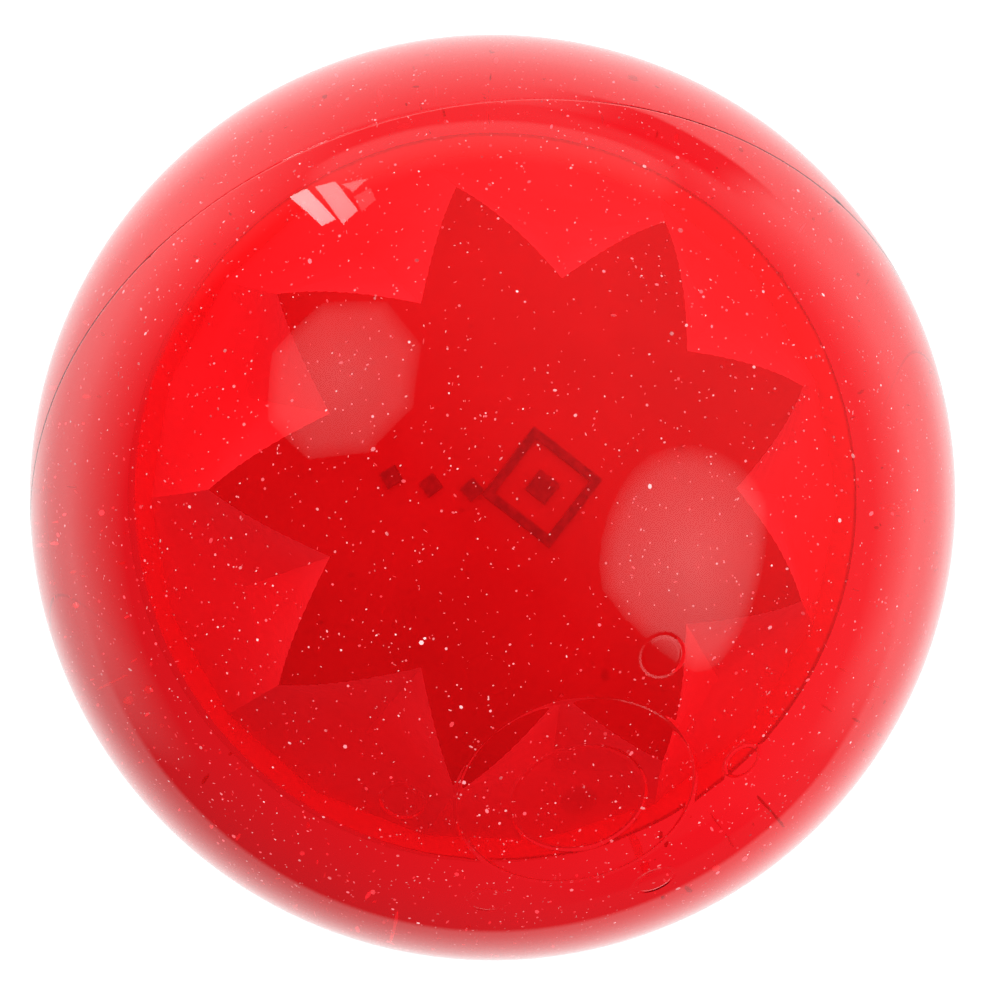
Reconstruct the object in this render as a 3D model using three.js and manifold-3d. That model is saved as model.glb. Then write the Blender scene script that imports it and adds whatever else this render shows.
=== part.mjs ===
// Ground golf ball: a clear red glitter cover moulded over a round core whose front is cut into a nine-lobed star.
//
// Millimetres. The origin is the ball's centre and +Z is up. The moulding axis is Y: the marked pole, with the
// trimmed gate and the ring marks, is at -Y, and the parting line is the great circle in the XZ plane.
import * as THREE from "three";
import { mergeVertices } from "three/addons/utils/BufferGeometryUtils.js";
import Module from "manifold-3d";

// Driving dimensions
const BALL_RADIUS = 30;
const GATE_RADIUS = 1.1; // the flat left where the moulding gate was trimmed, at each pole
const PARTING_GAP = 0.1; // between the two cover halves

const RING_RADII = [4.0, 7.2]; // witness rings of the mould insert around the marked pole
const PIN_COUNT = 6; // retracting pins that centred the core in the mould
const PIN_RADIUS = 1.25;
const PIN_POLAR_ANGLE = 20; // degrees from the pole
const PIN_START_ANGLE = 0; // degrees about the moulding axis
const MARK_WIDTH = 0.24; // a witness line's width
const MARK_DEPTH = 0.1; // and its depth

const CORE_RADIUS = 15.8;
const CORE_GAP = 0.35; // between the core and the cover, with the ink inside it
const STAR_LOBES = 9;
const STAR_POINT_RADIUS = 14.7; // the lobes' ridges run straight, along the star's axis
const GROOVE_RADIUS = 10.5; // the groove floors slope outwards from here
const GROOVE_START = 11.8; // which is this far in front of the core's centre
const GROOVE_END = -3; // to here, where they run out on a round shoulder
const STAR_AZIMUTH = 0.5; // degrees, of the star's axis from -Y towards +X
const STAR_ELEVATION = 39.4; // degrees above the XY plane
const STAR_TURN = -6.6; // degrees, of the first groove about the star's axis

const INK_THICKNESS = 0.15;
const INK_GAP = 0.1; // between the ink and the core, and between the ink and the cover
const DIAMOND_AZIMUTH = 2;
const DIAMOND_ELEVATION = 38.5;
const DIAMOND_SIZE = 3.1; // centre to corner
const DIAMOND_LINE = 0.45;
const DIAMOND_CENTRE_SIZE = 0.9;
const DOT_COUNT = 3;
const DOT_AZIMUTH = -24.3; // of the middle dot
const DOT_PITCH = 2.1;
const DOT_SIZE = 0.62;

const MERIDIANS = 48; // facets round a ball
const PARALLELS = 24; // facets from pole to pole
const RING_FACETS = 36;
const PIN_FACETS = 16;

const wasm = await Module();
wasm.setup();

const radians = THREE.MathUtils.degToRad;

// A closed three.js geometry as a manifold-3d solid.
function toSolid(geometry) {
  const bare = geometry.clone();
  bare.deleteAttribute("normal");
  bare.deleteAttribute("uv");
  const merged = mergeVertices(bare, 1e-4);
  return new wasm.Manifold(
    new wasm.Mesh({
      numProp: 3,
      vertProperties: merged.attributes.position.array,
      triVerts: new Uint32Array(merged.index.array),
    }),
  );
}

// A manifold-3d solid as a three.js geometry.
function toGeometry(solid) {
  const mesh = solid.getMesh();
  const geometry = new THREE.BufferGeometry();
  geometry.setAttribute("position", new THREE.BufferAttribute(mesh.vertProperties, 3));
  geometry.setIndex(new THREE.BufferAttribute(mesh.triVerts, 1));
  geometry.computeVertexNormals();
  return geometry;
}

// A ball about the Y axis, with a small flat of the gate's radius at each pole.
function ball(radius) {
  const poleAngle = Math.asin(GATE_RADIUS / radius);
  const profile = [new THREE.Vector2(0, -radius * Math.cos(poleAngle))];
  for (let i = 0; i <= PARALLELS; i++) {
    const angle = THREE.MathUtils.lerp(poleAngle, Math.PI - poleAngle, i / PARALLELS);
    profile.push(new THREE.Vector2(radius * Math.sin(angle), -radius * Math.cos(angle)));
  }
  profile.push(new THREE.Vector2(0, radius * Math.cos(poleAngle)));
  return toSolid(new THREE.LatheGeometry(profile, MERIDIANS));
}

// A slab that covers y from low to high, wider than the ball.
function slab(low, high) {
  const box = new THREE.BoxGeometry(3 * BALL_RADIUS, high - low, 3 * BALL_RADIUS);
  box.translate(0, (low + high) / 2, 0);
  return toSolid(box);
}

// A thin-walled tube about the Y axis, from the ball's centre out past the marked pole.
function circleLine(radius, facets) {
  const profile = [
    new THREE.Vector2(radius - MARK_WIDTH / 2, 0),
    new THREE.Vector2(radius + MARK_WIDTH / 2, 0),
    new THREE.Vector2(radius + MARK_WIDTH / 2, 2 * BALL_RADIUS),
    new THREE.Vector2(radius - MARK_WIDTH / 2, 2 * BALL_RADIUS),
    new THREE.Vector2(radius - MARK_WIDTH / 2, 0),
  ];
  const geometry = new THREE.LatheGeometry(profile, facets);
  geometry.rotateX(Math.PI);
  return geometry;
}

// The witness lines at the marked pole, as one solid to cut from the cover.
function witnessLines() {
  const pinOffset = BALL_RADIUS * Math.sin(radians(PIN_POLAR_ANGLE));
  const lines = RING_RADII.map((radius) => toSolid(circleLine(radius, RING_FACETS)));
  for (let i = 0; i < PIN_COUNT; i++) {
    const turn = radians(PIN_START_ANGLE + (360 * i) / PIN_COUNT);
    const circle = circleLine(PIN_RADIUS, PIN_FACETS);
    circle.translate(pinOffset * Math.cos(turn), 0, pinOffset * Math.sin(turn));
    lines.push(toSolid(circle));
  }
  return lines.reduce((all, one) => all.add(one)).subtract(ball(BALL_RADIUS - MARK_DEPTH));
}

// Turns a solid drawn about Z so that its Z axis points to the azimuth and elevation, in degrees.
function aim(azimuth, elevation, turn = 0) {
  const a = radians(azimuth);
  const e = radians(elevation);
  const axis = new THREE.Vector3(Math.sin(a) * Math.cos(e), -Math.cos(a) * Math.cos(e), Math.sin(e));
  const across = new THREE.Vector3(Math.cos(a), Math.sin(a), 0);
  const upwards = new THREE.Vector3().crossVectors(axis, across);
  const basis = new THREE.Matrix4().makeBasis(across, upwards, axis);
  return basis.multiply(new THREE.Matrix4().makeRotationZ(radians(turn)));
}

// One level of the star: lobes and grooves by turns. margin moves the flanks outwards.
function starLevel(height, grooveRadius, margin) {
  const halfStep = Math.PI / STAR_LOBES;
  const groove = new THREE.Vector2(Math.cos(halfStep), Math.sin(halfStep)).multiplyScalar(grooveRadius);
  const flankAngle = Math.atan2(groove.y, STAR_POINT_RADIUS - groove.x);
  const pointRadius = STAR_POINT_RADIUS + margin / Math.sin(flankAngle);
  const floorRadius = grooveRadius + margin / Math.sin(flankAngle + halfStep);
  return Array.from({ length: 2 * STAR_LOBES }, (_, i) => {
    const radius = i % 2 ? pointRadius : floorRadius;
    return new THREE.Vector3(radius * Math.cos(i * halfStep), radius * Math.sin(i * halfStep), height);
  });
}

// The core: a ball whose front is the star and whose rear stays round. margin moves every face outwards.
function coreSolid(margin) {
  const slope = (STAR_POINT_RADIUS - GROOVE_RADIUS) / (GROOVE_START - GROOVE_END);
  const shoulder = GROOVE_END + margin;
  const front = 1.2 * CORE_RADIUS;
  const foot = shoulder - 1; // inside the round rear
  const levels = [front, foot].map((z) => starLevel(z, GROOVE_RADIUS + slope * (GROOVE_START - z), margin));
  const width = 2 * STAR_LOBES;
  const positions = levels.flat().flatMap((point) => [point.x, point.y, point.z]);
  positions.push(0, 0, front, 0, 0, foot);
  const index = [];
  for (let i = 0; i < width; i++) {
    const j = (i + 1) % width;
    index.push(2 * width, i, j); // front end
    if (i % 2) index.push(i, width + i, j, j, width + i, width + j); // flank after a ridge
    else index.push(i, width + i, width + j, width + j, j, i); // flank after a groove
    index.push(2 * width + 1, width + j, width + i); // foot end
  }
  const star = new THREE.BufferGeometry();
  star.setAttribute("position", new THREE.Float32BufferAttribute(positions, 3));
  star.setIndex(index);
  const rear = new THREE.BoxGeometry(3 * CORE_RADIUS, 3 * CORE_RADIUS, 2 * CORE_RADIUS);
  rear.translate(0, 0, shoulder - CORE_RADIUS);
  const place = aim(STAR_AZIMUTH, STAR_ELEVATION, STAR_TURN);
  const limits = toSolid(star.applyMatrix4(place)).add(toSolid(rear.applyMatrix4(place)));
  return limits.intersect(ball(CORE_RADIUS + margin));
}

// A flat outline printed on the core: the outline pushed through a thin skin over the core's ball.
function printed(outline, azimuth, elevation) {
  const low = CORE_RADIUS + INK_GAP;
  const skin = ball(low + INK_THICKNESS).subtract(ball(low));
  const geometry = new THREE.ExtrudeGeometry(outline, { depth: 2 * CORE_RADIUS, bevelEnabled: false });
  geometry.applyMatrix4(aim(azimuth, elevation));
  return toSolid(geometry).intersect(skin);
}

function diamondShape(size) {
  return new THREE.Shape([
    new THREE.Vector2(size, 0),
    new THREE.Vector2(0, size),
    new THREE.Vector2(-size, 0),
    new THREE.Vector2(0, -size),
  ]);
}

const materials = {
  cover: new THREE.MeshStandardMaterial({ color: 0xf8303a, roughness: 0.05, transparent: true, opacity: 0.45 }),
  core: new THREE.MeshStandardMaterial({ color: 0xc80c14, roughness: 0.35, metalness: 0 }),
  ink: new THREE.MeshStandardMaterial({ color: 0x6e0a0c, roughness: 0.6, metalness: 0 }),
};

const group = new THREE.Group();

function addPart(name, solid, material) {
  const mesh = new THREE.Mesh(toGeometry(solid), material);
  mesh.name = name;
  group.add(mesh);
}

// Core, and the cover: one overmoulded layer on the real ball, parted here where its mould parted.
addPart("core", coreSolid(0), materials.core);
const coverWall = ball(BALL_RADIUS).subtract(coreSolid(CORE_GAP));
const frontSlab = slab(-2 * BALL_RADIUS, -PARTING_GAP / 2);
const rearSlab = slab(PARTING_GAP / 2, 2 * BALL_RADIUS);
addPart("cover_front", coverWall.intersect(frontSlab).subtract(witnessLines()), materials.cover);
addPart("cover_rear", coverWall.intersect(rearSlab), materials.cover);

// Ink: a plain diamond with a centre, and a row of dots beside it.
const diamond = diamondShape(DIAMOND_SIZE);
diamond.holes.push(diamondShape(DIAMOND_SIZE - DIAMOND_LINE * Math.SQRT2));
addPart("ink_diamond", printed(diamond, DIAMOND_AZIMUTH, DIAMOND_ELEVATION), materials.ink);
const centre = diamondShape(DIAMOND_CENTRE_SIZE);
addPart("ink_centre", printed(centre, DIAMOND_AZIMUTH, DIAMOND_ELEVATION), materials.ink);
const dotStep = THREE.MathUtils.radToDeg(DOT_PITCH / CORE_RADIUS) / Math.cos(radians(DIAMOND_ELEVATION));
for (let i = 0; i < DOT_COUNT; i++) {
  const azimuth = DOT_AZIMUTH + (i - (DOT_COUNT - 1) / 2) * dotStep;
  addPart(`ink_dot_${i + 1}`, printed(diamondShape(DOT_SIZE), azimuth, DIAMOND_ELEVATION), materials.ink);
}

export default group;
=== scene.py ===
"""Ground golf ball: clear red cover with glitter, round a star-shaped core."""

import math
import random

import bmesh
import bpy
from mathutils import Matrix, Vector


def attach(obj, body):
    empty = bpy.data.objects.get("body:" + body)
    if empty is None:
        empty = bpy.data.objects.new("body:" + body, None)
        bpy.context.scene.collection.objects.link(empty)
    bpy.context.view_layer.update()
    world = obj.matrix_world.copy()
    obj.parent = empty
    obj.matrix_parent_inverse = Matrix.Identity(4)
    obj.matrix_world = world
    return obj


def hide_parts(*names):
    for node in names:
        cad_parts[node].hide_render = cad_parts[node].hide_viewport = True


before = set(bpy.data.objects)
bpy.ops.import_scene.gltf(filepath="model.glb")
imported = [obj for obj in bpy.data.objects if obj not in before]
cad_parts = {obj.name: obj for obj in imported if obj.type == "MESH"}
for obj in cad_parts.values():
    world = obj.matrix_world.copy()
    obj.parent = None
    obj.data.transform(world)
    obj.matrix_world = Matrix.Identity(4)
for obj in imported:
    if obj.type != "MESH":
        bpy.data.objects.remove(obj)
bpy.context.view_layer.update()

MM = 0.001
BODY = "root"

# The ball, in millimetres. The moulding axis is Y, with the gate on -Y.
BALL_RADIUS = 30.0
COVER_RADIUS = 29.996  # as drawn, just inside the box of the CAD's facets
GATE_RADIUS = 1.1
RING_RADII = (1.1, 4.0, 7.2)
RING_WIDTH = 0.11
RING_DEPTH = 0.026
PIN_POLAR = 20.0  # degrees from the gate
PIN_COUNT = 6
PIN_RADIUS = 1.25
PIN_WIDTH = 0.10
PIN_DEPTH = 0.030
SEAM_WIDTH = 0.07
SEAM_DEPTH = 0.018
NICKS = ((135.0, 0.30, 0.04), (43.0, 0.25, 0.04))  # on the seam: degrees, size, depth
MARK_REACH = 4  # a mark's line is cut this many widths to each side
SEAM_REACH = 1.0  # millimetres to each side

# The cover's mesh: meridians all round, and degrees between one parallel and the next.
MERIDIANS = 720
PLAIN_STEP = 1.0
RING_STEP = 0.06
PIN_STEP = 0.12
SEAM_STEP = 0.06
LEAST_STEP = 0.02
RING_MARGIN = 0.6  # degrees of fine mesh to each side of a ring
SEAM_RANGE = (88.8, 91.2)  # degrees from the gate, the same for the seam
PIN_NEAR = 4  # degrees from the pins' circle in which a pin mark may lie

# The core and its star, in millimetres and degrees, as in the CAD.
CORE_RADIUS = 15.8
STAR_LOBES = 9
STAR_POINT = 14.7
GROOVE_RADIUS = 10.5
GROOVE_START = 11.8
GROOVE_END = -3.0
STAR_AZIMUTH = 0.5
STAR_ELEVATION = 39.4
STAR_TURN = -6.6
STAR_STEPS = 48
STAR_FOOT = 1.0  # how far the star goes on into the shoulder
STAR_FRONT = 1.2  # of the core's radius
CORE_MERIDIANS = 192
CORE_PARALLELS = 96
ROUND_ENOUGH = 0.985  # cosine between a face and the ball, above which it is the ball's
SHARP_ANGLE = 20

# Glitter, in millimetres
FLAKE_SEED = 60
FLAKE_COUNT = 8300
FLAKES_INSIDE = 16.3
FLAKES_OUTSIDE = 29.6
FLAKE_SIDES = 6
FLAKE_HALF_THICKNESS = 0.008
FLAKE_SIZE = 0.073
FLAKE_SPREAD = 0.5
FLAKE_LARGEST = 0.32

# The camera, from the outline and the perspective in the photograph.
CAMERA_AZIMUTH = -9.76
CAMERA_ELEVATION = 37.16
CAMERA_DISTANCE = 240.0
CAMERA_LENS = 132.4
CAMERA_SHIFT = (0.0074, -0.0025)
CAMERA_NEAREST = 0.005
SENSOR = 36.0


def direction(azimuth, elevation):
    """Unit vector; azimuth 0 is -Y and 90 is +X."""
    a, e = math.radians(azimuth), math.radians(elevation)
    return Vector(
        (math.sin(a) * math.cos(e), -math.cos(a) * math.cos(e), math.sin(e))
    )


VIEW_BACK = direction(CAMERA_AZIMUTH, CAMERA_ELEVATION)
VIEW_RIGHT = Vector((0, 0, 1)).cross(VIEW_BACK).normalized()
VIEW_UP = VIEW_BACK.cross(VIEW_RIGHT)


def add_object(name, mesh):
    made = bpy.data.objects.new(name, mesh)
    bpy.context.scene.collection.objects.link(made)
    return made


def to_mesh(name, mesh):
    """A bmesh as mesh data."""
    data = bpy.data.meshes.new(name)
    mesh.to_mesh(data)
    mesh.free()
    return data


# -------------------------------------------------------------- shader nodes


def new_material(name):
    made = bpy.data.materials.new(name)
    made.use_nodes = True
    tree = made.node_tree
    return made, tree, tree.nodes["Principled BSDF"]


def feed(tree, socket, value):
    """Link the socket to another socket, or set it to a number or a colour."""
    if isinstance(value, bpy.types.NodeSocket):
        tree.links.new(value, socket)
    else:
        socket.default_value = value


def add_node(tree, kind, **inputs):
    """A node with its named inputs fed."""
    made = tree.nodes.new(kind)
    for name, value in inputs.items():
        feed(tree, made.inputs[name.replace("_", " ")], value)
    return made


def map_range(tree, value, low, high, to_low, to_high, smooth=False):
    made = tree.nodes.new("ShaderNodeMapRange")
    if smooth:
        made.interpolation_type = "SMOOTHSTEP"
    tree.links.new(value, made.inputs["Value"])
    for name, number in (
        ("From Min", low),
        ("From Max", high),
        ("To Min", to_low),
        ("To Max", to_high),
    ):
        made.inputs[name].default_value = number
    return made.outputs["Result"]


def maths(tree, operation, a, b):
    made = tree.nodes.new("ShaderNodeMath")
    made.operation = operation
    feed(tree, made.inputs[0], a)
    feed(tree, made.inputs[1], b)
    return made.outputs[0]


def product(tree, a, b):
    return maths(tree, "MULTIPLY", a, b)


def mix_floats(tree, factor, a, b):
    made = tree.nodes.new("ShaderNodeMix")
    feed(tree, made.inputs[0], factor)
    feed(tree, made.inputs[2], a)
    feed(tree, made.inputs[3], b)
    return made.outputs[0]


def dot(tree, vector, with_vector):
    made = tree.nodes.new("ShaderNodeVectorMath")
    made.operation = "DOT_PRODUCT"
    tree.links.new(vector, made.inputs[0])
    made.inputs[1].default_value = with_vector
    return made.outputs["Value"]


def noise(tree, scale, detail):
    place = tree.nodes.new("ShaderNodeTexCoord")
    made = add_node(
        tree,
        "ShaderNodeTexNoise",
        Vector=place.outputs["Object"],
        Scale=scale,
        Detail=detail,
        Roughness=0.5,
    )
    return made.outputs["Fac"]


def bump(tree, shader, height, distance, strength):
    made = add_node(
        tree, "ShaderNodeBump", Height=height, Distance=distance, Strength=strength
    )
    tree.links.new(made.outputs["Normal"], shader.inputs["Normal"])


def colour_ramp(tree, factor, first, last, middle=None):
    """Each stop is a position and a colour."""
    made = tree.nodes.new("ShaderNodeValToRGB")
    stops = made.color_ramp.elements
    for stop, (position, colour) in zip(stops, (first, last)):
        stop.position = position
        stop.color = (*colour, 1)
    if middle:
        position, colour = middle
        stops.new(position).color = (*colour, 1)
    tree.links.new(factor, made.inputs["Fac"])
    return made.outputs["Color"]


# ----------------------------------------------------------------- materials

RIPPLE_DISTANCE = 0.00002


def clear_resin(name, ior, tint, roughness):
    """Clear resin whose polish varies a little from place to place."""
    made, tree, shader = new_material(name)
    shader.inputs["Base Color"].default_value = (*tint, 1)
    shader.inputs["Transmission Weight"].default_value = 1.0
    shader.inputs["IOR"].default_value = ior
    wear = noise(tree, 90.0, 4.0)
    tree.links.new(
        map_range(tree, wear, 0.45, 0.75, *roughness), shader.inputs["Roughness"]
    )
    return made, tree, shader


def cover_material():
    made, tree, shader = clear_resin("cover_red_resin", 1.5, (1, 1, 1), (0.0, 0.03))
    bump(tree, shader, noise(tree, 60.0, 2.0), RIPPLE_DISTANCE, 0.25)
    absorb = add_node(
        tree,
        "ShaderNodeVolumeAbsorption",
        Color=(0.96, 0.0, 0.12, 1),
        Density=98.0,
    )
    tree.links.new(
        absorb.outputs["Volume"], tree.nodes["Material Output"].inputs["Volume"]
    )
    return made


def cloudy_resin(name, ior, roughness, clearness, thick, thin):
    """Cloudy plastic: part of the light goes through, part is scattered back."""
    made, tree, shader = clear_resin(name, ior, (1, 1, 1), roughness)
    shader.inputs["Transmission Weight"].default_value = clearness
    cloud = noise(tree, 120.0, 3.0)
    colour = colour_ramp(tree, cloud, (0.35, thick), (0.7, thin))
    tree.links.new(colour, shader.inputs["Base Color"])
    return made


def core_materials():
    """For the star's cloudy end, its hazy walls, and the clear round rear."""
    end = cloudy_resin(
        "core_cloudy_end",
        ior=1.04,
        roughness=(0.05, 0.15),
        clearness=0.5,
        thick=(0.56, 0.05, 0.06),
        thin=(0.64, 0.07, 0.08),
    )
    flank = cloudy_resin(
        "core_hazy_flank",
        ior=1.05,
        roughness=(0.02, 0.08),
        clearness=0.3,
        thick=(0.97, 0.30, 0.32),
        thin=(1.0, 0.42, 0.44),
    )
    rear, _, _ = clear_resin("core_clear_round", 1.01, (1, 0.97, 0.97), (0.0, 0.01))
    return end, flank, rear


def ink_and_painted_glow_material():
    made, tree, shader = new_material("print_dark_red_ink")
    speckle = noise(tree, 2500.0, 3.0)
    colour = colour_ramp(
        tree, speckle, (0.35, (0.22, 0.004, 0.007)), (0.65, (0.32, 0.008, 0.012))
    )
    tree.links.new(colour, shader.inputs["Base Color"])
    shader.inputs["Roughness"].default_value = 0.7
    # the ink also glows a deep red: painted light, on top of the print's own speckled
    # colour
    shader.inputs["Emission Color"].default_value = (0.36, 0.0, 0.002, 1)
    shader.inputs["Emission Strength"].default_value = 0.35
    bump(tree, shader, speckle, RIPPLE_DISTANCE, 0.4)
    return made


def glitter_and_painted_glint_material():
    made, tree, shader = new_material("glitter_silver_foil_painted_glint")
    each = tree.nodes.new("ShaderNodeNewGeometry").outputs["Random Per Island"]
    colour = colour_ramp(
        tree,
        each,
        (0.0, (0.55, 0.18, 0.18)),
        (1.0, (0.98, 0.95, 0.95)),
        middle=(0.65, (0.85, 0.55, 0.55)),
    )
    tree.links.new(colour, shader.inputs["Base Color"])
    # each flake's tone is drawn at random; the same colour also glows, a painted glint
    # that lights the flake under any lamp
    tree.links.new(colour, shader.inputs["Emission Color"])
    shader.inputs["Emission Strength"].default_value = 0.57
    shader.inputs["Metallic"].default_value = 0.2
    crinkle = noise(tree, 6000.0, 2.0)
    tree.links.new(
        map_range(tree, crinkle, 0.3, 0.7, 0.15, 0.45), shader.inputs["Roughness"]
    )
    bump(tree, shader, crinkle, RIPPLE_DISTANCE, 0.5)
    return made


# --------------------------------------------------------------------- cover


def groove(distance, width, depth):
    return depth * math.exp(-((distance / width) ** 2))


def ball_direction(polar, turn):
    """polar from the gate on -Y, turn from +X towards +Z."""
    return (
        math.sin(polar) * math.cos(turn),
        -math.cos(polar),
        math.sin(polar) * math.sin(turn),
    )


def pin_directions():
    polar = math.radians(PIN_POLAR)
    return [
        ball_direction(polar, 2 * math.pi * k / PIN_COUNT) for k in range(PIN_COUNT)
    ]


def polar_stations():
    """Polar angles of the mesh rings, closer where the moulding marks are."""
    fine = []
    for radius in RING_RADII:
        at = math.degrees(math.asin(radius / BALL_RADIUS))
        fine.append((at - RING_MARGIN, at + RING_MARGIN, RING_STEP))
    reach = math.degrees((PIN_RADIUS + 3 * PIN_WIDTH) / BALL_RADIUS)
    fine.append((PIN_POLAR - reach, PIN_POLAR + reach, PIN_STEP))
    fine.append((*SEAM_RANGE, SEAM_STEP))
    first = math.degrees(math.asin(GATE_RADIUS / BALL_RADIUS))
    stations, angle = [], first
    while angle < 180 - first - 1e-6:
        stations.append(angle)
        step = PLAIN_STEP
        for low, high, fine_step in fine:
            if low <= angle < high:
                step = min(step, fine_step)
            elif angle < low:
                step = min(step, low - angle)
        angle += max(step, LEAST_STEP)
    stations.append(180 - first)
    return [math.radians(s) for s in stations]


def pin_depth(polar, turn, pins):
    depth = 0.0
    here = ball_direction(polar, turn)
    for pin in pins:
        cosine = sum(a * b for a, b in zip(here, pin))
        away = BALL_RADIUS * math.acos(max(-1.0, min(1.0, cosine)))
        if abs(away - PIN_RADIUS) < MARK_REACH * PIN_WIDTH:
            depth += groove(away - PIN_RADIUS, PIN_WIDTH, PIN_DEPTH)
    return depth


def cover_depth(polar, turn, pins):
    """How deep the moulding marks cut into the ball at this place."""
    depth = 0.0
    across = BALL_RADIUS * math.sin(polar)
    if polar < math.pi / 2:
        for radius in RING_RADII:
            near = abs(across - radius) < MARK_REACH * RING_WIDTH
            if radius > GATE_RADIUS and near:
                depth += groove(across - radius, RING_WIDTH, RING_DEPTH)
        if abs(math.degrees(polar) - PIN_POLAR) < PIN_NEAR:
            depth += pin_depth(polar, turn, pins)
    off_seam = BALL_RADIUS * (polar - math.pi / 2)
    if abs(off_seam) < SEAM_REACH:
        depth += groove(off_seam, SEAM_WIDTH, SEAM_DEPTH)
        for where, size, deep in NICKS:
            along = BALL_RADIUS * (turn - math.radians(where))
            depth += groove(math.hypot(along, off_seam), size, deep)
    return depth


def make_cover():
    pins = pin_directions()
    mesh = bmesh.new()
    rings = []
    for polar in polar_stations():
        ring = []
        for k in range(MERIDIANS):
            turn = 2 * math.pi * k / MERIDIANS
            radius = COVER_RADIUS - cover_depth(polar, turn, pins)
            place = Vector(ball_direction(polar, turn)) * radius * MM
            ring.append(mesh.verts.new(place))
        rings.append(ring)
    for near, far in zip(rings, rings[1:]):
        for k in range(MERIDIANS):
            j = (k + 1) % MERIDIANS
            mesh.faces.new((near[k], near[j], far[j], far[k]))
    flats = [mesh.faces.new(rings[0][::-1]), mesh.faces.new(rings[-1])]
    bmesh.ops.recalc_face_normals(mesh, faces=mesh.faces[:])
    for face in mesh.faces:
        face.smooth = face not in flats
    bmesh.ops.triangulate(mesh, faces=flats)
    data = to_mesh("cover_clear", mesh)
    data.materials.append(cover_material())
    made = add_object("cover_clear", data)
    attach(made, BODY)
    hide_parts("cover_front", "cover_rear")


# ---------------------------------------------------------------------- core


def round_mesh():
    """The core's ball, smooth, about the moulding axis."""
    mesh = bmesh.new()
    bmesh.ops.create_uvsphere(
        mesh,
        u_segments=CORE_MERIDIANS,
        v_segments=CORE_PARALLELS,
        radius=CORE_RADIUS * MM,
    )
    bmesh.ops.rotate(
        mesh, verts=mesh.verts[:], matrix=Matrix.Rotation(math.pi / 2, 3, "X")
    )
    for face in mesh.faces:
        face.smooth = True
    return to_mesh("round", mesh)


def star_frame():
    """The star's own axes: its length, and the direction of its first groove."""
    axis = direction(STAR_AZIMUTH, STAR_ELEVATION)
    side = Vector((0, 0, 1)).cross(axis).normalized()
    upward = axis.cross(side)
    turn = Matrix.Rotation(math.radians(STAR_TURN), 3, axis)
    return Matrix((turn @ side, turn @ upward, axis)).transposed().to_4x4()


def star_level(height):
    """Grooves and ridges by turns; the groove floors slope outwards to the rear."""
    slope = (STAR_POINT - GROOVE_RADIUS) / (GROOVE_START - GROOVE_END)
    floor = GROOVE_RADIUS + slope * (GROOVE_START - height)
    places = []
    for k in range(2 * STAR_LOBES):
        radius = STAR_POINT if k % 2 else floor
        angle = math.pi * k / STAR_LOBES
        places.append(
            Vector((radius * math.cos(angle), radius * math.sin(angle), height)) * MM
        )
    return places


def star_mesh():
    """The star's front, drawn along Z and longer than the core."""
    foot, front = GROOVE_END - STAR_FOOT, STAR_FRONT * CORE_RADIUS
    mesh = bmesh.new()
    rings = []
    for k in range(STAR_STEPS + 1):
        height = foot + (front - foot) * k / STAR_STEPS
        rings.append([mesh.verts.new(place) for place in star_level(height)])
    mesh.faces.new(rings[0][::-1])
    mesh.faces.new(rings[-1])
    for low, high in zip(rings, rings[1:]):
        for k in range(2 * STAR_LOBES):
            j = (k + 1) % (2 * STAR_LOBES)
            mesh.faces.new((low[k], low[j], high[j], high[k]))
    bmesh.ops.triangulate(mesh, faces=mesh.faces[:])
    return to_mesh("star", mesh)


def shoulder_mesh():
    """Everything behind the star's shoulder."""
    mesh = bmesh.new()
    bmesh.ops.create_cube(mesh, size=3 * CORE_RADIUS * MM)
    lower = Vector((0, 0, GROOVE_END - 1.5 * CORE_RADIUS)) * MM
    bmesh.ops.translate(mesh, verts=mesh.verts[:], vec=lower)
    return to_mesh("shoulder", mesh)


def combine(made, operation, mesh):
    """Apply one Boolean step to a mesh object."""
    cutter = add_object("cutter", mesh)
    step = made.modifiers.new("step", "BOOLEAN")
    step.operation = operation
    step.object = cutter
    step.solver = "EXACT"
    bpy.context.view_layer.update()
    evaluated = made.evaluated_get(bpy.context.evaluated_depsgraph_get())
    result = bpy.data.meshes.new_from_object(evaluated)
    made.modifiers.clear()
    made.data = result
    bpy.data.objects.remove(cutter)
    return result


def make_core():
    """A clear ball whose front is cut into a star with a cloudy end."""
    made = add_object("core_star", star_mesh())
    combine(made, "UNION", shoulder_mesh())
    final = combine(made, "INTERSECT", round_mesh())
    final.materials.clear()
    for material in core_materials():
        final.materials.append(material)
    end, flank, rear = range(3)
    for face in final.polygons:
        if face.normal.dot(face.center.normalized()) < ROUND_ENOUGH:
            face.material_index = flank
        elif face.center.z > GROOVE_END * MM:
            face.material_index = end
        else:
            face.material_index = rear
    final.transform(star_frame())
    final.shade_smooth()
    final.set_sharp_from_angle(angle=math.radians(SHARP_ANGLE))
    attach(made, BODY)
    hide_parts("core")


# ----------------------------------------------------------- glitter and ink


def random_direction(rng):
    return Vector([rng.gauss(0, 1) for _ in range(3)]).normalized()


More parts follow.
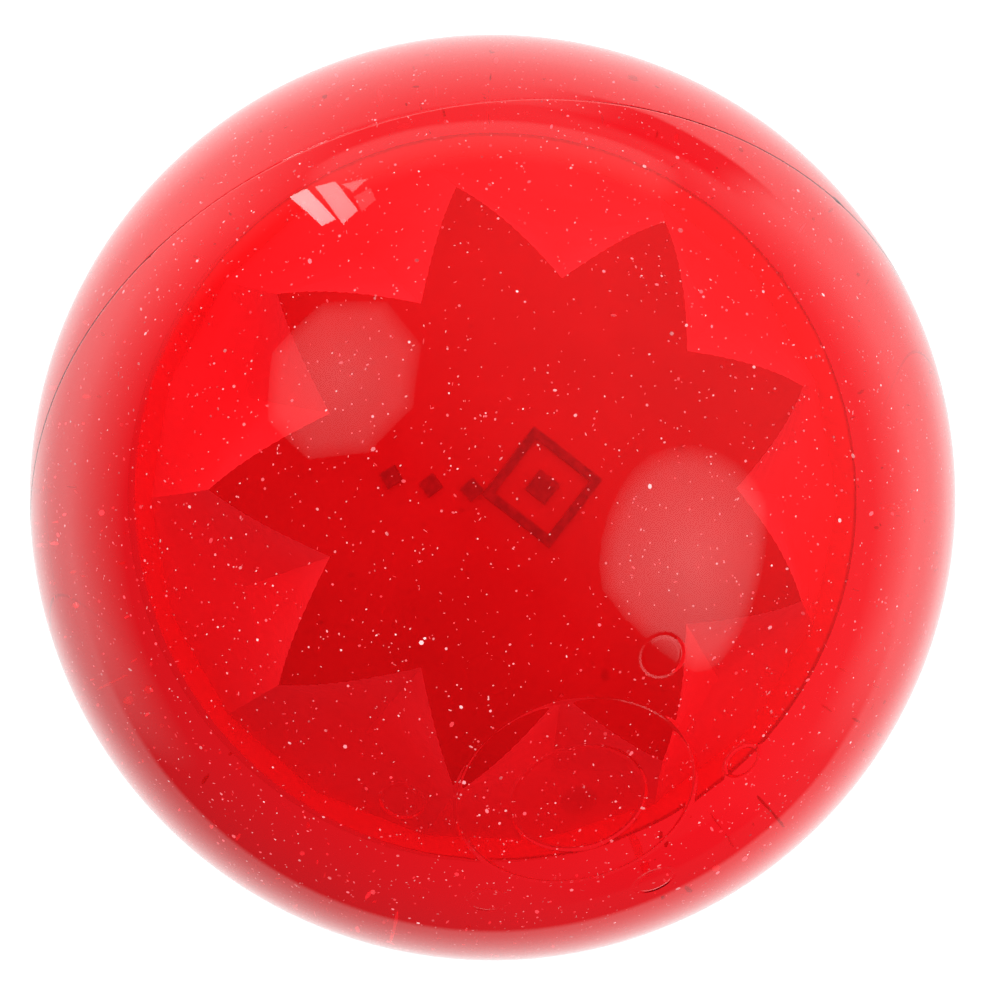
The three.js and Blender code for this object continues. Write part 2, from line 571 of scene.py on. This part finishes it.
def make_glitter():
    """Foil flakes of six sides, each turned its own way."""
    rng = random.Random(FLAKE_SEED)
    low, high = FLAKES_INSIDE**3, FLAKES_OUTSIDE**3
    places, faces = [], []
    for _ in range(FLAKE_COUNT):
        share = rng.random()
        radius = (low + (high - low) * share) ** (1 / 3)
        centre = random_direction(rng) * radius
        normal = random_direction(rng)
        side = normal.orthogonal().normalized()
        other = normal.cross(side)
        width = FLAKE_SIZE * math.exp(abs(rng.gauss(0, FLAKE_SPREAD)))
        size = 0.5 * min(FLAKE_LARGEST, width)
        first = len(places)
        second = first + FLAKE_SIDES
        for height in (-FLAKE_HALF_THICKNESS, FLAKE_HALF_THICKNESS):
            for k in range(FLAKE_SIDES):
                a = 2 * math.pi * k / FLAKE_SIDES
                place = centre + size * (math.cos(a) * side + math.sin(a) * other)
                places.append((place + height * normal) * MM)
        faces.append([first + k for k in reversed(range(FLAKE_SIDES))])
        faces.append([second + k for k in range(FLAKE_SIDES)])
        for k in range(FLAKE_SIDES):
            j = (k + 1) % FLAKE_SIDES
            faces.append([first + k, first + j, second + j, second + k])
    data = bpy.data.meshes.new("glitter_flakes")
    data.from_pydata(places, [], faces)
    data.materials.append(glitter_and_painted_glint_material())
    made = add_object("glitter_flakes", data)
    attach(made, BODY)


def finish_ink():
    ink = ink_and_painted_glow_material()
    for name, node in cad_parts.items():
        if name.startswith("ink_"):
            node.data.materials.clear()
            node.data.materials.append(ink)


# --------------------------------------------------------------------- world

# Where each light in the surroundings starts and ends, as cosines from the camera's
# backward, right or upward direction; the last pair of a LIGHT is its brightness there.
WHITE_TILT = 0.2
WHITE_LIGHT = (-0.87, -0.58, 1, 0.5)
WHITE_END = (-0.56, -0.50)
WHITE_SIDES_LIGHT = (-0.57, -0.15, 1, 0)
WHITE_FAR_LIGHT = (-0.87, -0.70, 1.15, 1)
SIDEWAYS_TILT = 0.25
SIDEWAYS = (0.25, 0.6)
BEAM_DEPTH = (-0.52, -0.49, -0.34, -0.28)
BEAM_LENGTH = (0.05, 0.35, 0.50, 0.64)
BEAM_DARKNESS = 0.9
ROOM_LIGHT = (-0.2, 1.2, 0.04, 0.3)
PANEL_DEPTH = (-0.26, -0.21, -0.15, 0.16)
PANEL_LIGHT = (0.80, 0.90, 0, 0.8)
THROUGH_LIGHT = (0.1, 1.2, 1.24, 0.7)
TOP = VIEW_RIGHT * 0.3 + VIEW_UP * 0.9 + VIEW_BACK * 0.3
TOP_LIGHT = (-0.85, 0.8, 0.3, 3.0)
BACKDROP_LIGHT = 1.05


def band(tree, value, rise, risen, fall, fallen):
    """1 between two soft edges, 0 outside them."""
    return product(
        tree,
        map_range(tree, value, rise, risen, 0, 1, True),
        map_range(tree, value, fall, fallen, 1, 0, True),
    )


def mirrored_light(tree, back, right, up):
    """What the polished surface mirrors: white behind the ball, a dim room in front."""
    # the white ends gently at the sides, sharply above and below
    edge = maths(tree, "SUBTRACT", back, product(tree, up, WHITE_TILT))
    ends = product(
        tree,
        map_range(tree, edge, *WHITE_LIGHT),
        map_range(tree, edge, *WHITE_END, 1, 0, True),
    )
    sides = map_range(tree, edge, *WHITE_SIDES_LIGHT)
    sideways = maths(
        tree, "ADD", product(tree, right, right), product(tree, up, SIDEWAYS_TILT)
    )
    white = mix_floats(tree, map_range(tree, sideways, *SIDEWAYS, 0, 1), ends, sides)
    white = product(tree, white, map_range(tree, back, *WHITE_FAR_LIGHT))
    # a dark beam across the white, above and to the right
    beam = product(
        tree, band(tree, back, *BEAM_DEPTH), band(tree, right, *BEAM_LENGTH)
    )
    # the room is lighter at the upper right
    room = map_range(tree, maths(tree, "ADD", right, up), *ROOM_LIGHT)
    # an overhead panel with a soft lower edge
    panel = product(
        tree, band(tree, back, *PANEL_DEPTH), map_range(tree, up, *PANEL_LIGHT, True)
    )
    light = maths(tree, "MAXIMUM", maths(tree, "MAXIMUM", white, room), panel)
    lit = maths(tree, "SUBTRACT", 1.0, product(tree, beam, BEAM_DARKNESS))
    return product(tree, light, lit)


def make_world():
    """One light to mirror, one to let through, and one for cloudy plastic inside."""
    world = bpy.data.worlds.new("studio")
    bpy.context.scene.world = world
    world.use_nodes = True
    tree = world.node_tree
    background = tree.nodes["Background"]
    background.inputs["Color"].default_value = (1, 1, 1, 1)
    toward = tree.nodes.new("ShaderNodeTexCoord").outputs["Generated"]
    back, right, up = (dot(tree, toward, v) for v in (VIEW_BACK, VIEW_RIGHT, VIEW_UP))
    mirrored = mirrored_light(tree, back, right, up)
    through = map_range(tree, maths(tree, "ADD", right, up), *THROUGH_LIGHT)
    rays = tree.nodes.new("ShaderNodeLightPath")
    # cloudy plastic inside the ball is lit from above alone
    scattered = map_range(tree, rays.outputs["Diffuse Depth"], 0, 1, 0, 1)
    top_light = map_range(tree, dot(tree, toward, TOP), *TOP_LIGHT)
    through = mix_floats(tree, scattered, through, top_light)
    # refracted rays count as glossy too, so they are taken out
    reflected = product(
        tree,
        rays.outputs["Is Glossy Ray"],
        maths(tree, "SUBTRACT", 1.0, rays.outputs["Is Transmission Ray"]),
    )
    seen = mix_floats(tree, reflected, through, mirrored)
    shown = mix_floats(tree, rays.outputs["Is Camera Ray"], seen, BACKDROP_LIGHT)
    tree.links.new(shown, background.inputs["Strength"])


# -------------------------------------------------------- floor, boxes, camera

FLOOR_SIZE = 6
# The floor's painted glow fades along FLOOR_ACROSS, between FLOOR_LIGHT's two places
# and its two strengths.
FLOOR_ACROSS = (1, 0.35, 0)
FLOOR_LIGHT = (-0.06, 0.12, 1.1, 0.85)
BOX_DISTANCE = 0.5
BOX_INNER = 0.8  # the inner outline's place, from the edge (1) to the middle (0)


def make_floor():
    bpy.ops.mesh.primitive_grid_add(
        x_subdivisions=4,
        y_subdivisions=4,
        size=FLOOR_SIZE,
        location=(0, 0, -BALL_RADIUS * MM),
    )
    floor = bpy.context.object
    floor.name = "floor"
    made, tree, shader = new_material("floor_white_painted_glow")
    shader.inputs["Base Color"].default_value = (0.2, 0.2, 0.2, 1)
    shader.inputs["Roughness"].default_value = 0.9
    shader.inputs["Specular IOR Level"].default_value = 0.0
    # painted light: the floor glows, about 1.1 towards -X and falling to 0.85 towards
    # +X
    shader.inputs["Emission Color"].default_value = (1, 1, 1, 1)
    place = tree.nodes.new("ShaderNodeTexCoord").outputs["Object"]
    across = dot(tree, place, FLOOR_ACROSS)
    tree.links.new(
        map_range(tree, across, *FLOOR_LIGHT, True), shader.inputs["Emission Strength"]
    )
    floor.data.materials.append(made)
    floor.visible_glossy = False
    floor.visible_transmission = False


def softbox(name, outline, azimuth, elevation, strength, fade):
    """A glowing panel, seen only as a reflection. The outline is in degrees across."""
    toward = direction(azimuth, elevation)
    side = Vector((0, 0, 1)).cross(toward).normalized()
    upward = toward.cross(side)
    places = [
        toward * BOX_DISTANCE
        + side * math.tan(math.radians(x)) * BOX_DISTANCE
        + upward * math.tan(math.radians(y)) * BOX_DISTANCE
        for x, y in outline
    ]
    centre = sum(places, Vector()) / len(places)
    count = len(places)
    inner = [centre.lerp(place, BOX_INNER) for place in places]
    faces = []
    for k in range(count):
        j = (k + 1) % count
        faces.append((k, j, count + j, count + k))
        faces.append((count + k, count + j, 2 * count))
    data = bpy.data.meshes.new(name)
    data.from_pydata([*places, *inner, centre], [], faces)
    glow = data.attributes.new("glow", "FLOAT", "POINT")
    glow.data.foreach_set(
        "value", [fade] * count + [0.5 + 0.5 * fade] * count + [1.0]
    )
    made, tree, shader = new_material(name + "_light")
    tree.nodes.remove(shader)
    shade = tree.nodes.new("ShaderNodeAttribute")
    shade.attribute_name = "glow"
    light = add_node(
        tree,
        "ShaderNodeEmission",
        Strength=product(tree, shade.outputs["Fac"], strength),
    )
    tree.links.new(
        light.outputs["Emission"], tree.nodes["Material Output"].inputs["Surface"]
    )
    data.materials.append(made)
    panel = add_object(name, data)
    panel.visible_camera = False
    panel.visible_diffuse = False
    panel.visible_transmission = False
    panel.visible_shadow = False


def ring_outline(count, wide, high, turn=0.0):
    return [
        (
            wide * math.cos(turn + 2 * math.pi * k / count),
            high * math.sin(turn + 2 * math.pi * k / count),
        )
        for k in range(count)
    ]


def pear_outline():
    """Wide and round above, narrower and longer below."""
    return [
        (x, y) if y > 0 else (x * (1.0 + y / 60.0), y * 1.2)
        for x, y in ring_outline(24, 22, 23)
    ]


# The panes of a window: corners in degrees across from its middle, and brightness.
WINDOW_PANES = (
    (((-2.0, -11.0), (-4.0, -8.5), (3.0, 4.0), (5.0, 2.0)), 8.0),
    (((-4.5, -7.0), (-6.0, -3.5), (0.0, 7.0), (4.0, 6.5)), 5.5),
    (((-5.5, -1.5), (-8.0, 2.5), (-4.0, 2.5)), 3.0),
    (((-3.0, 3.5), (-6.0, 5.0), (-3.5, 8.5), (0.0, 8.0)), 1.2),
)


def make_lights():
    octagon = ring_outline(8, 19, 19, math.pi / 8)
    softbox("octagon_box", octagon, -72.2, 51.0, 1.6, fade=0.2)
    softbox("pear_box", pear_outline(), 38.2, 14.2, 2.3, fade=0.15)
    for k, (outline, strength) in enumerate(WINDOW_PANES):
        softbox("window_" + str(k + 1), outline, -143.0, 48.0, strength, fade=0.85)


def make_camera():
    data = bpy.data.cameras.new("camera")
    camera = add_object("camera", data)
    camera.location = VIEW_BACK * CAMERA_DISTANCE * MM
    camera.rotation_euler = (
        Matrix((VIEW_RIGHT, VIEW_UP, VIEW_BACK)).transposed().to_euler()
    )
    data.sensor_width = SENSOR
    data.lens = CAMERA_LENS
    data.shift_x, data.shift_y = CAMERA_SHIFT
    data.clip_start = CAMERA_NEAREST
    bpy.context.scene.camera = camera


make_cover()
make_core()
make_glitter()
finish_ink()
make_world()
make_floor()
make_lights()
make_camera()
bpy.context.scene.view_settings.view_transform = "Standard"
